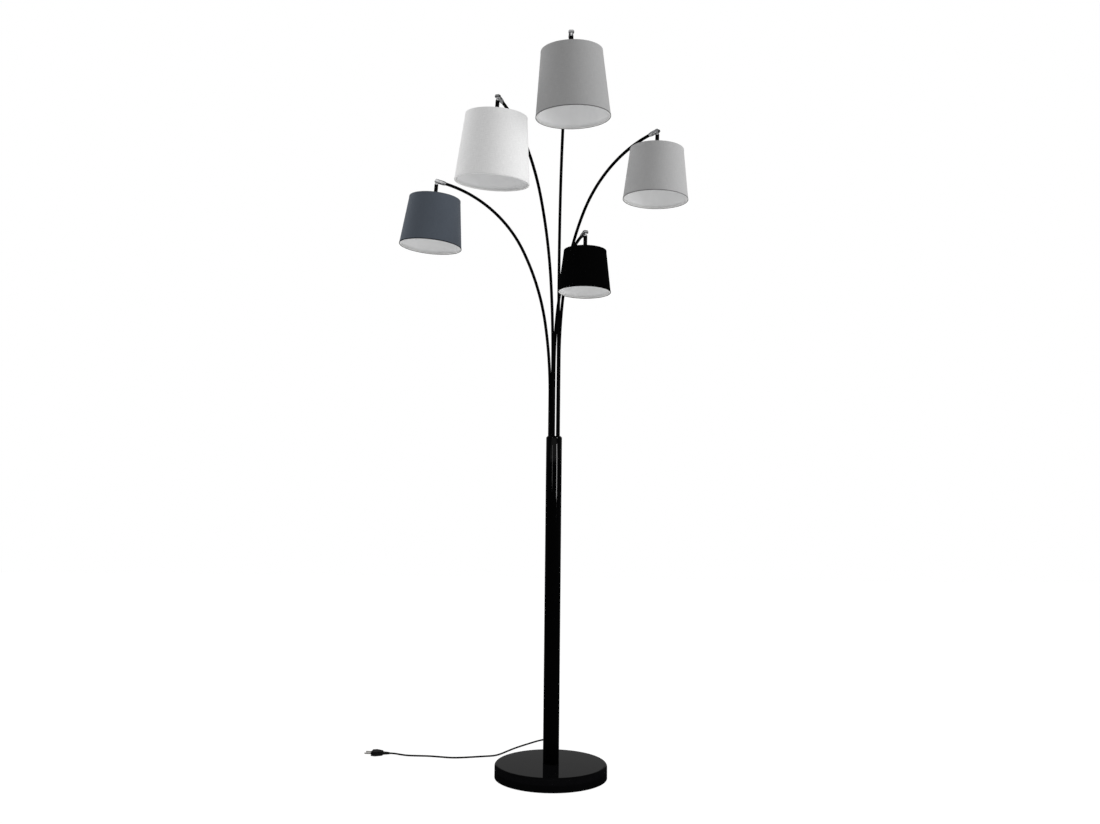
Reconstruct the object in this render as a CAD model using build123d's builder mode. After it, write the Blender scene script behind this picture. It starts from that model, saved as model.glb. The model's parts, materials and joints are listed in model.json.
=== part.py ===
"""Five-arm tree floor lamp: a round weighted base, one column and five bent arms that turn in
the column's top, each with a knuckle, a lamp holder and a tapered fabric shade.

Units are millimetres. +Z is up, the floor is z = 0 and the column stands on the Z axis.
The lamp is seen from -Y, so -Y is its front and +X its right.
"""

import os
from math import cos, pi, radians, sin, sqrt, tan

from build123d import *

# ---------------------------------------------------------------- driving dimensions
# fits
running_gap = 0.06  # radial gap of a shaft that turns in its hole
seat_gap = 0.05  # radial gap of a piece pushed into its seat
stack_gap = 0.1  # gap between pieces that a nut or a screw draws together

# base
base_diameter = 315.0
base_height = 39.0
base_edge_radius = 7.0
cover_wall = 1.2
cover_lift = 0.8  # the cover's rim clears the floor by this
weight_gap = 8.3  # from the cover's wall in to the weight
weight_thickness = 16.0
weight_chamfer = 2.0
pad_inset = 2.0  # from the weight's edge in to the pad's
pad_thickness = 2.0
boss_diameter = 92.0
recess_diameter = 56.0
recess_depth = 26.0
stud_diameter = 10.0
stud_bore = 7.0
stud_below_nut = 2.0
nut_across_flats = 17.0
nut_thickness = 6.0
washer_diameter = 30.0
washer_thickness = 2.5

# column
column_diameter = 45.0
column_wall = 1.5
column_top = 948.0
foot_thickness = 14.0
cap_rim = 2.0
cap_crown = 4.0
cap_crown_slope = 3.5
cap_skirt = 16.0
cap_edge_radius = 0.8
guide_thickness = 12.0
guide_depth = 86.0  # from the column's top down to the guide's top face
guide_rod_diameter = 6.0
terminal_stem = 16.0
terminal_length = 24.0
terminal_width = 15.0
terminal_height = 18.0
terminal_corner = 2.0
terminal_hole_diameter = 4.0

# arms
arm_diameter = 8.5
arm_wall = 1.25
socket_count = 5
socket_inset = 7.5  # from the column's bore in to the middle of each socket
first_socket_angle = 190.0
arm_below_guide = 10.0
bead_rise = 1.2  # the bead stands this far out of the tube
bead_height = 5.0
axial_play = 0.3
first_bend_radius = 1363.0
second_bend_radius = 692.0
third_bend_radius = 354.0
first_bend_angle = 8.8
second_bend_angle = 18.4
third_bend_angle = 49.5
tip_straight = 6.0  # straight tube between the last bend and the fork
left_height = 1668.2  # of the left knuckle above the floor, and so on
low_height = 1496.6
right_height = 1771.0
top_height = 1995.9
upper_left_height = 1825.1

# knuckle
fork_diameter = 12.4
fork_back = 26.0  # from the pivot to the fork's end on the tube
fork_seat = 10.0  # depth of the tube's seat in the fork
fork_taper = 7.0  # length over which the fork narrows to the tube
fork_tail_wall = 0.9  # of the fork's narrow end round the tube
fork_flat = 11.0  # height and width over the fork's flats
slot_width = 4.6
slot_depth = 9.0  # from the pivot to the slot's root
wire_hole = 4.0
screw_diameter = 4.0
screw_head_diameter = 7.6
screw_head_height = 1.6
eye_radius = 5.4
eye_side_gap = 0.1
eye_web_width = 7.6
collar_top = 7.8  # below the pivot
collar_bottom = 11.2
collar_rim = 1.0  # height of the collar's straight rim
collar_top_diameter = 5.0

# head
neck_diameter = 10.5
neck_bore = 7.0
neck_thread = 8.0
shade_drop = 51.5  # from the pivot to the shade's top edge
shade_wall = 1.2
large_shade_bottom = 197.0  # diameters
large_shade_top = 162.5
large_shade_height = 175.0
medium_shade_bottom = 175.5
medium_shade_top = 144.5
medium_shade_height = 138.5
small_shade_bottom = 142.0
small_shade_top = 115.0
small_shade_height = 115.0
holder_rise = 4.0  # the holder's cap stands this far above the shade's top edge
holder_diameter = 27.0
holder_length = 42.0
holder_cap_height = 5.4
holder_cap_step = 2.2  # the cap's top stands this far out of the neck tube
holder_flange_width = 3.0
holder_flange_thickness = 2.0
holder_mouth_depth = 25.0
ring_nut_width = 4.5
ring_nut_height = 7.0
carrier_recess = 7.0  # from the shade's top edge down to the carrier's plate
carrier_plate_width = 6.5
carrier_plate_thickness = 1.5
frame_wire = 2.5
spoke_overlap = 2.0  # each spoke is welded over the plate by this length
spokes = 3
bulb_diameter = 45.0
bulb_base_diameter = 13.4
bulb_seat = 1.0  # from the mouth's end down to the bulb's cap
bulb_length = 47.0  # glass below the holder's mouth
bulb_neck_angle = 30.0

# mains cord
cord_diameter = 5.0
gland_angle = 84.0
cord_exit_height = 7.0
gland_flange_diameter = 11.0
gland_neck_diameter = 8.8
gland_flange_thickness = 2.4
gland_step = 1.0  # the inner flange is this much smaller all round
gland_sleeve_step = 0.75  # so is the sleeve's root
gland_sleeve_length = 27.0
gland_tip_diameter = 6.6
gland_groove_width = 1.6
gland_groove_depth = 0.6
gland_grooves = 5
inner_lead_radius = 14.0
channel_gap = 1.0  # the weight's channel is this much wider than the gland
coil_centre_x = -14.0
coil_centre_y = 221.0
coil_outer_radius = 36.0
turn_gap = 0.5  # between neighbouring turns
coil_bottom = 1.2
half_turns_in = 6
half_turns_out = 5
climb_inset = 1.0  # the turn that climbs to the upper layer is this much tighter
floor_gap = 0.1
lead_straight = 8.5
run_straight = 18.0
tie_wall = 0.8
tie_gap = 0.3
tie_width = 10.0
tie_corner = 2.0

# plug
plug_relief_length = 20.0
plug_body_length = 34.0
plug_rear_width = 13.0
plug_front_width = 35.3
plug_nose_length = 13.0
plug_nose_step = 4.0  # the nose's end is narrower by this on each side
plug_thickness = 13.6
plug_corner_radius = 2.0
plug_relief_tip_wall = 0.9
plug_relief_root_wall = 2.6
pin_diameter = 4.0
pin_length = 19.0
pin_spacing = 18.6

os.makedirs("parts", exist_ok=True)

# ---------------------------------------------------------------- values worked out
base_radius = base_diameter / 2
weight_radius = base_radius - cover_wall - weight_gap
pad_radius = weight_radius - pad_inset
column_radius = column_diameter / 2
column_bore_radius = column_radius - column_wall
socket_circle_radius = column_bore_radius - socket_inset
cover_underside = base_height - cover_wall
weight_top = pad_thickness + weight_thickness
recess_top = pad_thickness + recess_depth
washer_bottom = recess_top - washer_thickness
nut_bottom = washer_bottom - nut_thickness
stud_bottom = nut_bottom - stud_below_nut
foot_top = base_height + foot_thickness
guide_top = column_top - guide_depth
guide_bottom = guide_top - guide_thickness
cap_top = column_top + cap_rim + cap_crown
arm_bottom = guide_bottom - arm_below_guide
terminal_top = guide_bottom - terminal_stem
terminal_bottom = terminal_top - terminal_height
arm_radius = arm_diameter / 2
arm_bore_radius = arm_radius - arm_wall
arm_hole_radius = arm_radius + running_gap
cord_radius = cord_diameter / 2
coil_pitch = cord_diameter + turn_gap
coil_level = coil_bottom + cord_radius
coil_top_level = coil_level + coil_pitch
floor_level = cord_radius + floor_gap
plug_level = plug_thickness / 2 + floor_gap


class Shade:
    """Size of one tapered drum shade."""

    def __init__(self, bottom_diameter, top_diameter, height):
        self.bottom_radius = bottom_diameter / 2
        self.top_radius = top_diameter / 2
        self.height = height


class Arm:
    """One arm: its socket in the column, the way it leans and the knuckle at its tip.

    heading is the compass direction it bends to, counted from +X towards +Y. bend scales the
    three bend radii. knuckle_height is the pivot's height. roll turns the fork about the tube,
    and tilt swings the head outwards from hanging plumb.
    """

    def __init__(self, name, socket, heading, bend, knuckle_height, roll, tilt, shade):
        self.name = name
        self.shade = shade
        self.bend = bend
        angle = radians(first_socket_angle + 360 / socket_count * socket)
        self.x = socket_circle_radius * cos(angle)
        self.y = socket_circle_radius * sin(angle)
        turn = radians(heading)
        self.outward = Vector(cos(turn), sin(turn), 0)
        self.side = Vector(sin(turn), -cos(turn), 0)
        self.plane = Plane(
            origin=(self.x, self.y, 0), x_dir=self.outward, z_dir=self.side
        )
        # the three bends run from upright to the tip, each angle counted from upright
        bends = (
            (first_bend_radius, first_bend_angle),
            (second_bend_radius, second_bend_angle),
            (third_bend_radius, third_bend_angle),
        )
        self.bends = [(radius * bend, angle) for radius, angle in bends]
        reach, rise, lean = 0.0, 0.0, 0.0
        for radius, step in self.bends:
            after = lean + radians(step)
            reach += radius * (cos(lean) - cos(after))
            rise += radius * (sin(after) - sin(lean))
            lean = after
        straight = tip_straight + fork_back - fork_seat
        reach += straight * sin(lean)
        rise += straight * cos(lean)
        self.bend_start = knuckle_height - rise
        self.tip = self.outward * sin(lean) + Vector(0, 0, cos(lean))
        self.pivot = Vector(self.x, self.y, knuckle_height) + self.outward * reach
        self.pin = self.side.rotate(Axis((0, 0, 0), self.tip), roll)
        plumb = Vector(0, 0, -1)
        hang = (plumb - self.pin * plumb.dot(self.pin)).normalized()
        self.down = hang.rotate(Axis((0, 0, 0), self.pin), tilt)
        self.out = self.pin.cross(self.down)
        # knuckle: x along the tube's tip, z along the pin
        self.knuckle = Plane(origin=self.pivot, x_dir=self.tip, z_dir=self.pin)
        # head: y up along the shade's axis, z along the pin
        self.head = Plane(origin=self.pivot, x_dir=self.out, z_dir=self.pin)
        self.head_axis = Axis(self.pivot, self.down * -1)

    def below(self, distance, spin=0.0):
        """Plane square to the head's axis, a distance below the pivot, facing down."""
        across = self.pin.rotate(Axis((0, 0, 0), self.down), spin)
        return Plane(
            origin=self.pivot + self.down * distance, x_dir=across, z_dir=self.down
        )

    def behind(self, distance):
        """Plane square to the tube's tip, a distance behind the pivot, facing the tip."""
        return Plane(
            origin=self.pivot - self.tip * distance, x_dir=self.pin, z_dir=self.tip
        )


large = Shade(large_shade_bottom, large_shade_top, large_shade_height)
medium = Shade(medium_shade_bottom, medium_shade_top, medium_shade_height)
small = Shade(small_shade_bottom, small_shade_top, small_shade_height)

arms = [
    Arm("left", 0, 192.9, 0.984, left_height, roll=0.8, tilt=4.6, shade=medium),
    Arm("low", 1, 292.8, 0.582, low_height, roll=-2.1, tilt=3.1, shade=small),
    Arm("right", 2, 320.2, 0.986, right_height, roll=-2.4, tilt=-0.1, shade=medium),
    Arm("top", 3, 274.0, 0.998, top_height, roll=1.9, tilt=-0.9, shade=large),
    Arm("upper_left", 4, 245.6, 1.078, upper_left_height, roll=-4.4, tilt=-1.2, shade=large),
]


def save(part, name):
    """Label a finished piece and write it as its own STEP file."""
    part.label = name
    export_step(part, f"parts/{name}.step")


# ---------------------------------------------------------------- base
with BuildPart() as base_cover:
    with BuildSketch(Plane.XZ):
        with BuildLine():
            FilletPolyline(
                (0, base_height),
                (base_radius, base_height),
                (base_radius, cover_lift),
                radius=base_edge_radius,
            )
            offset(amount=cover_wall, side=Side.RIGHT)
        make_face()
    revolve(axis=Axis.Z)
    with Locations((0, 0, base_height)):
        Hole(stud_diameter / 2 + stack_gap, depth=2 * cover_wall)
    gland_turn = radians(gland_angle)
    gland_out = Vector(cos(gland_turn), sin(gland_turn), 0)
    gland_wall = gland_out * base_radius + Vector(0, 0, cord_exit_height)
    with BuildSketch(Plane(origin=gland_wall + gland_out, z_dir=gland_out)):
        Circle(gland_neck_diameter / 2 + stack_gap)
    extrude(amount=-6 * cover_wall, mode=Mode.SUBTRACT)
save(base_cover.part, "base_cover")

with BuildPart() as base_weight:
    with BuildSketch(Plane.XZ):
        with BuildLine():
            Polyline(
                (recess_diameter / 2, pad_thickness),
                (weight_radius, pad_thickness),
                (weight_radius, weight_top),
                (boss_diameter / 2, weight_top),
                (boss_diameter / 2, cover_underside),
                (stud_diameter / 2 + stack_gap, cover_underside),
                (stud_diameter / 2 + stack_gap, recess_top),
                (recess_diameter / 2, recess_top),
                close=True,
            )
        make_face()
    revolve(axis=Axis.Z)
    weight_rims = base_weight.edges().filter_by(GeomType.CIRCLE).sort_by(SortBy.RADIUS)[-2:]
    chamfer(weight_rims, weight_chamfer)
    channel = Plane(origin=(0, 0, pad_thickness), x_dir=gland_out, z_dir=(0, 0, 1))
    with BuildSketch(channel):
        Rectangle(
            2 * weight_radius,
            gland_flange_diameter + channel_gap,
            align=(Align.MIN, Align.CENTER),
        )
    extrude(amount=cord_exit_height + cord_radius, mode=Mode.SUBTRACT)
save(base_weight.part, "base_weight")

with BuildPart() as base_pad:
    Cylinder(
        pad_radius,
        pad_thickness,
        align=(Align.CENTER, Align.CENTER, Align.MIN),
    )
save(base_pad.part, "base_pad")

with BuildPart() as base_stud:
    with BuildSketch(Plane.XY.offset(stud_bottom)):
        Circle(stud_diameter / 2)
        Circle(stud_bore / 2, mode=Mode.SUBTRACT)
    extrude(amount=foot_top - stud_bottom)
    with BuildSketch(Plane.XY.offset(washer_bottom)):
        Circle(washer_diameter / 2)
        Circle(stud_diameter / 2 + stack_gap, mode=Mode.SUBTRACT)
    extrude(amount=washer_thickness)
    with BuildSketch(Plane.XY.offset(nut_bottom)):
        RegularPolygon(nut_across_flats / 2, 6, major_radius=False)
        Circle(stud_diameter / 2 + stack_gap, mode=Mode.SUBTRACT)
    extrude(amount=nut_thickness - stack_gap)
save(base_stud.part, "base_stud")

# ---------------------------------------------------------------- column
with BuildPart() as column_foot:
    with BuildSketch(Plane.XY.offset(base_height)):
        Circle(column_bore_radius - seat_gap)
        Circle(stud_diameter / 2 + seat_gap, mode=Mode.SUBTRACT)
    extrude(amount=foot_thickness)
    chamfer(
        column_foot.edges().group_by(Axis.Z)[-1].sort_by(SortBy.RADIUS)[-1],
        column_wall,
    )
save(column_foot.part, "column_foot")

with BuildPart() as column_tube:
    with BuildSketch(Plane.XY.offset(base_height)):
        Circle(column_radius)
        Circle(column_bore_radius, mode=Mode.SUBTRACT)
    extrude(amount=column_top - base_height)
save(column_tube.part, "column_tube")

with BuildPart() as column_cap:
    with BuildSketch(Plane.XZ):
        with BuildLine():
            Polyline(
                (0, column_top - cap_skirt),
                (column_bore_radius - seat_gap, column_top - cap_skirt),
                (column_bore_radius - seat_gap, column_top),
                (column_radius, column_top),
                (column_radius, column_top + cap_rim),
                (column_radius - cap_crown_slope, cap_top),
                (0, cap_top),
                close=True,
            )
        make_face()
    revolve(axis=Axis.Z)
    with BuildSketch(Plane.XY.offset(cap_top)):
        with PolarLocations(socket_circle_radius, socket_count, first_socket_angle):
            Circle(arm_hole_radius)
    extrude(amount=-(cap_skirt + cap_rim + cap_crown), mode=Mode.SUBTRACT)
    cap_edge = column_cap.edges().filter_by(GeomType.CIRCLE).sort_by(SortBy.RADIUS)[-1]
    fillet(cap_edge, cap_edge_radius)
save(column_cap.part, "column_cap")

with BuildPart() as arm_guide:
    with BuildSketch(Plane.XY.offset(guide_bottom)):
        Circle(column_bore_radius - seat_gap)
        with PolarLocations(socket_circle_radius, socket_count, first_socket_angle):
            Circle(arm_hole_radius, mode=Mode.SUBTRACT)
    extrude(amount=guide_thickness)
    with BuildSketch(Plane.XY.offset(terminal_top)):
        Circle(guide_rod_diameter / 2)
    extrude(amount=column_top - cap_skirt - terminal_top)
save(arm_guide.part, "arm_guide")

with BuildPart() as terminal_block:
    with BuildSketch(Plane.XY.offset(terminal_bottom)):
        RectangleRounded(terminal_length, terminal_width, terminal_corner)
    extrude(amount=terminal_height)
    with BuildSketch(Plane.XZ.offset(terminal_width / 2)):
        with Locations((0, terminal_bottom + terminal_height / 2)):
            with GridLocations(terminal_length / 3, terminal_height / 2, 3, 2):
                Circle(terminal_hole_diameter / 2)
    extrude(amount=-terminal_width / 4, mode=Mode.SUBTRACT)
save(terminal_block.part, "terminal_block")

# ---------------------------------------------------------------- arms
for arm in arms:
    with BuildPart() as tube:
        with BuildLine(arm.plane) as path:
            stretch = Line((0, arm_bottom), (0, arm.bend_start))
            for radius, angle in arm.bends:
                stretch = JernArc(stretch @ 1, stretch % 1, radius, -angle)
            Line(stretch @ 1, (stretch @ 1) + arm.tip * tip_straight)
        with BuildSketch(Plane(origin=(arm.x, arm.y, arm_bottom), z_dir=(0, 0, 1))):
            Circle(arm_radius)
            Circle(arm_bore_radius, mode=Mode.SUBTRACT)
        sweep(path=path.line)
        bead = Plane(origin=(arm.x, arm.y, guide_top + axial_play), z_dir=(0, 0, 1))
        with BuildSketch(bead):
            Circle(arm_radius + bead_rise)
            Circle((arm_radius + arm_bore_radius) / 2, mode=Mode.SUBTRACT)
        extrude(amount=bead_height)
    save(tube.part, f"arm_tube_{arm.name}")

    with BuildPart() as fork:
        with BuildSketch(arm.knuckle):
            Rectangle(fork_back - fork_taper, fork_flat, align=(Align.MAX, Align.CENTER))
            Circle(fork_flat / 2)
        extrude(amount=fork_flat / 2, both=True)
        with BuildSketch(arm.behind(fork_back)):
            Circle(fork_diameter / 2)
        extrude(amount=fork_back + fork_diameter, mode=Mode.INTERSECT)
        with BuildSketch(arm.behind(fork_back - fork_taper)):
            Circle(fork_diameter / 2)
        extrude(amount=fork_seat - fork_taper)
        with BuildSketch(arm.behind(fork_back)):
            Circle(arm_radius + seat_gap + fork_tail_wall)
        with BuildSketch(arm.behind(fork_back - fork_taper)):
            Circle(fork_diameter / 2)
        loft()
        with BuildSketch(arm.behind(fork_back)):
            Circle(arm_radius + seat_gap)
        extrude(amount=fork_seat, mode=Mode.SUBTRACT)
        with BuildSketch(arm.behind(fork_back)):
            Circle(wire_hole / 2)
        extrude(amount=fork_back - slot_depth + 1, mode=Mode.SUBTRACT)
        with BuildSketch(arm.knuckle):
            with Locations((-slot_depth, 0)):
                Rectangle(
                    slot_depth + fork_diameter,
                    2 * fork_diameter,
                    align=(Align.MIN, Align.CENTER),
                )
        extrude(amount=slot_width / 2, both=True, mode=Mode.SUBTRACT)
        with BuildSketch(arm.knuckle):
            Circle(screw_diameter / 2 + seat_gap)
        extrude(amount=fork_diameter, both=True, mode=Mode.SUBTRACT)
    save(fork.part, f"knuckle_fork_{arm.name}")

    with BuildPart() as screw:
        with BuildSketch(arm.knuckle):
            Circle(screw_diameter / 2)
        extrude(amount=fork_flat / 2, both=True)
        with BuildSketch(arm.knuckle.offset(fork_flat / 2)):
            Circle(screw_head_diameter / 2)
        extrude(amount=screw_head_height)
        with BuildSketch(arm.knuckle.offset(-fork_flat / 2)):
            RegularPolygon(screw_head_diameter / 2, 6)
        extrude(amount=-screw_head_height)
        with BuildSketch(arm.knuckle.offset(fork_flat / 2 + screw_head_height)):
            Rectangle(2 * screw_head_diameter, screw_head_height / 2)
        extrude(amount=-screw_head_height / 2, mode=Mode.SUBTRACT)
    save(screw.part, f"knuckle_screw_{arm.name}")

# ---------------------------------------------------------------- heads
eye_thickness = slot_width - 2 * eye_side_gap
neck_end = shade_drop - holder_rise + neck_thread
holder_top = shade_drop - holder_rise
holder_bottom = holder_top + holder_length
flange_bottom = shade_drop + carrier_recess - stack_gap
ring_top = flange_bottom + carrier_plate_thickness + 2 * stack_gap
mouth_top = holder_bottom - holder_mouth_depth
bulb_top = mouth_top + bulb_seat
web_length = collar_top + collar_rim
holder_radius = holder_diameter / 2
flange_radius = holder_radius + holder_flange_width
plate_radius = holder_radius + carrier_plate_width
bulb_radius = bulb_diameter / 2
globe_centre = holder_bottom + bulb_length - bulb_radius
for arm in arms:
    shade = arm.shade

    with BuildPart() as eye:
        with BuildSketch(arm.head):
            Circle(eye_radius)
            Rectangle(eye_web_width, web_length, align=(Align.CENTER, Align.MAX))
        extrude(amount=eye_thickness / 2, both=True)
        with BuildSketch(arm.head):
            with BuildLine():
                top = Line((0, -collar_top), (collar_top_diameter / 2, -collar_top))
                rim = Line(
                    (neck_diameter / 2, -collar_bottom + collar_rim),
                    (neck_diameter / 2, -collar_bottom),
                )
                TangentArc(rim @ 0, top @ 1, tangent=(rim % 0) * -1)
                Polyline(
                    (neck_diameter / 2, -collar_bottom),
                    (0, -collar_bottom),
                    (0, -collar_top),
                )
            make_face()
        revolve(axis=arm.head_axis)
        with BuildSketch(arm.head):
            Circle(screw_diameter / 2 + running_gap)
        extrude(amount=eye_thickness, both=True, mode=Mode.SUBTRACT)
    save(eye.part, f"knuckle_eye_{arm.name}")

    with BuildPart() as neck:
        with BuildSketch(arm.below(collar_bottom)):
            Circle(neck_diameter / 2)
            Circle(neck_bore / 2, mode=Mode.SUBTRACT)
        extrude(amount=neck_end - collar_bottom)
    save(neck.part, f"neck_tube_{arm.name}")

    with BuildPart() as holder:
        with BuildSketch(arm.head):
            with BuildLine():
                Polyline(
                    (neck_diameter / 2 + seat_gap, -holder_top),
                    (neck_diameter / 2 + holder_cap_step, -holder_top),
                    (holder_radius, -holder_top - holder_cap_height),
                    (holder_radius, -flange_bottom + holder_flange_thickness),
                    (flange_radius, -flange_bottom + holder_flange_thickness),
                    (flange_radius, -flange_bottom),
                    (holder_radius, -flange_bottom),
                    (holder_radius, -holder_bottom),
                    (bulb_base_diameter / 2 + axial_play, -holder_bottom),
                    (bulb_base_diameter / 2 + axial_play, -mouth_top),
                    (0, -mouth_top),
                    (0, -neck_end - stack_gap),
                    (neck_diameter / 2 + seat_gap, -neck_end - stack_gap),
                    close=True,
                )
            make_face()
        revolve(axis=arm.head_axis)
        with BuildSketch(arm.below(ring_top)):
            Circle(holder_radius + ring_nut_width)
            Circle(holder_radius + seat_gap, mode=Mode.SUBTRACT)
        extrude(amount=ring_nut_height)
    save(holder.part, f"lamp_holder_{arm.name}")

    wire_radius = frame_wire / 2
    slope = (shade.bottom_radius - shade.top_radius) / shade.height
    edge_inset = shade_wall + wire_radius + 2 * stack_gap
    top_ring_drop = shade_drop + frame_wire
    bottom_ring_drop = shade_drop + shade.height - frame_wire
    top_ring_radius = shade.top_radius + slope * frame_wire - edge_inset
    bottom_ring_radius = shade.bottom_radius - slope * frame_wire - edge_inset
    plate_level = flange_bottom + stack_gap + carrier_plate_thickness / 2
    with BuildPart() as frame:
        with BuildSketch(arm.below(flange_bottom + stack_gap)):
            Circle(plate_radius)
            Circle(holder_radius + running_gap, mode=Mode.SUBTRACT)
        extrude(amount=carrier_plate_thickness)
        for spin in range(0, 360, 360 // spokes):
            level = arm.below(plate_level, spin)
            ring_level = arm.below(top_ring_drop, spin)
            root = level.origin + level.x_dir * (plate_radius - spoke_overlap)
            end = ring_level.origin + ring_level.x_dir * top_ring_radius
            with BuildSketch(Plane(origin=root, z_dir=end - root)):
                Circle(carrier_plate_thickness / 2)
            extrude(amount=(end - root).length)
        with BuildSketch(arm.head):
            with Locations((top_ring_radius, -top_ring_drop)):
                Rectangle(frame_wire, frame_wire)
            with Locations((bottom_ring_radius, -bottom_ring_drop)):
                Rectangle(frame_wire, frame_wire)
        revolve(axis=arm.head_axis)
    save(frame.part, f"shade_frame_{arm.name}")

    with BuildPart() as drum:
        with BuildSketch(arm.head):
            with BuildLine():
                Polyline(
                    (shade.top_radius, -shade_drop),
                    (shade.bottom_radius, -shade_drop - shade.height),
                    (shade.bottom_radius - shade_wall, -shade_drop - shade.height),
                    (shade.top_radius - shade_wall, -shade_drop),
                    close=True,
                )
            make_face()
        revolve(axis=arm.head_axis)
    save(drum.part, f"shade_{arm.name}")

    with BuildPart() as bulb:
        with BuildSketch(arm.head):
            with BuildLine():
                shoulder = radians(bulb_neck_angle)
                cheek_x = bulb_radius * cos(shoulder)
                cheek_drop = globe_centre - bulb_radius * sin(shoulder)
                neck_drop = holder_bottom + stack_gap
                neck_x = cheek_x - (cheek_drop - neck_drop) * tan(shoulder)
                Polyline(
                    (0, -bulb_top),
                    (bulb_base_diameter / 2, -bulb_top),
                    (bulb_base_diameter / 2, -neck_drop),
                    (neck_x, -neck_drop),
                    (cheek_x, -cheek_drop),
                )
                ThreePointArc(
                    (cheek_x, -cheek_drop),
                    (bulb_radius * cos(shoulder), -globe_centre - bulb_radius * sin(shoulder)),
                    (0, -globe_centre - bulb_radius),
                )
                Line((0, -globe_centre - bulb_radius), (0, -bulb_top))
            make_face()
        revolve(axis=arm.head_axis)
    save(bulb.part, f"bulb_{arm.name}")

# ---------------------------------------------------------------- cord inlet
gland_plane = Plane(origin=gland_wall, x_dir=gland_out, z_dir=gland_out.cross(Vector(0, 0, 1)))
sleeve_start = gland_flange_thickness
sleeve_end = gland_flange_thickness + gland_sleeve_length
sleeve_root_radius = gland_flange_diameter / 2 - gland_sleeve_step
sleeve_slope = (sleeve_root_radius - gland_tip_diameter / 2) / gland_sleeve_length
with BuildPart() as cord_gland:
    with BuildSketch(gland_plane):
        with BuildLine():
            Polyline(
                (-cover_wall - gland_flange_thickness, 0),
                (-cover_wall - gland_flange_thickness, gland_flange_diameter / 2 - gland_step),
                (-cover_wall - stack_gap, gland_flange_diameter / 2 - gland_step),
                (-cover_wall - stack_gap, gland_neck_diameter / 2),
                (stack_gap, gland_neck_diameter / 2),
                (stack_gap, gland_flange_diameter / 2),
                (sleeve_start, gland_flange_diameter / 2),
                (sleeve_start, sleeve_root_radius),
                (sleeve_end, gland_tip_diameter / 2),
                (sleeve_end, 0),
                close=True,
            )
        make_face()
    revolve(axis=Axis(gland_wall, gland_out))
    groove_step = gland_sleeve_length / (gland_grooves + 1)
    for groove in range(gland_grooves):
        along = sleeve_start + groove_step * (groove + 1)
        surface = sleeve_root_radius - sleeve_slope * (along - sleeve_start)
        with BuildSketch(gland_plane):
            with Locations((along, surface - gland_groove_depth)):
                Rectangle(
                    gland_groove_width,
                    gland_flange_diameter / 2,
                    align=(Align.CENTER, Align.MIN),
                )
        revolve(axis=Axis(gland_wall, gland_out), mode=Mode.SUBTRACT)
save(cord_gland.part, "cord_gland")

inner_plane = Plane(origin=(0, 0, 0), x_dir=gland_out, z_dir=gland_plane.z_dir)
inner_start = base_radius - cover_wall - gland_flange_thickness
with BuildPart() as inner_lead:
    with BuildLine(inner_plane) as path:
        FilletPolyline(
            (inner_start, cord_exit_height),
            (0, cord_exit_height),
            (0, terminal_bottom),
            radius=inner_lead_radius,
        )
    with BuildSketch(
        Plane(
            origin=gland_out * inner_start + Vector(0, 0, cord_exit_height),
            z_dir=gland_out * -1,
        )
    ):
        Circle(cord_radius)
    sweep(path=path.line)
save(inner_lead.part, "inner_lead")

# ---------------------------------------------------------------- coil of spare cord
# The lead-in leaves the gland, drops to the coil's lower layer and joins its outer turn.
# The turns spiral in on the lower layer, climb in one half turn and spiral out above it.


def biarc(start, start_way, end, end_way):
    """Two tangent arcs between two points with given ways."""
    span = end - start
    ways = start_way + end_way
    spread = 2 * (1 - start_way.dot(end_way))
    across = span.dot(ways)
    reach = (sqrt(across**2 + spread * span.dot(span)) - across) / spread
    middle = (start + start_way * reach + end - end_way * reach) * 0.5
    first = Edge.make_tangent_arc(start, start_way, middle)
    return [first, Edge.make_tangent_arc(middle, first % 1, end)]


coil_radii = [coil_outer_radius - coil_pitch / 2 * step for step in range(half_turns_in)]
climb_radius = coil_radii[-1] - coil_pitch / 2 - climb_inset
coil_radii += [climb_radius, climb_radius]
inner_upper_radius = coil_radii[half_turns_in - 1]
coil_radii += [inner_upper_radius + coil_pitch / 2 * step for step in range(half_turns_out)]
coil_nodes = []
for step, radius in enumerate(coil_radii):
    side = 1 if step % 2 == 0 else -1
    level = coil_level if step <= half_turns_in else coil_top_level
    place = Vector(coil_centre_x + side * radius, coil_centre_y, level)
    coil_nodes.append((place, Vector(0, side, 0)))

gland_end = gland_wall + gland_out * sleeve_end
lead_points = [
    tuple(gland_end),
    tuple(gland_end + gland_out * lead_straight),
    (21.3, 203.8, 4.5),
    (22.0, 212.3, coil_level),
    tuple(coil_nodes[0][0]),
]


def corner_radii(points):
    """Bend radius for each inner point: 0.45 of the shorter run over tan(half turn)."""
    radii = []
    vectors = [Vector(*point) for point in points]
    for before, corner, after in zip(vectors, vectors[1:], vectors[2:]):
        run_in, run_out = corner - before, after - corner
        turn = radians(run_in.get_angle(run_out))
        radii.append(0.45 * min(run_in.length, run_out.length) / tan(turn / 2))
    return radii


def least_gap(wire, diameter):
    """Least gap of a tube to itself, measured on points along its centre line."""
    count = round(wire.length / diameter * 2)
    spots = [wire.position_at(i / count) for i in range(count + 1)]
    skip = round(3 * pi * 2)
    gaps = [
        (spots[i] - spots[j]).length - diameter
        for i in range(count + 1)
        for j in range(i + skip, count + 1)
    ]
    return min(gaps)


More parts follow.
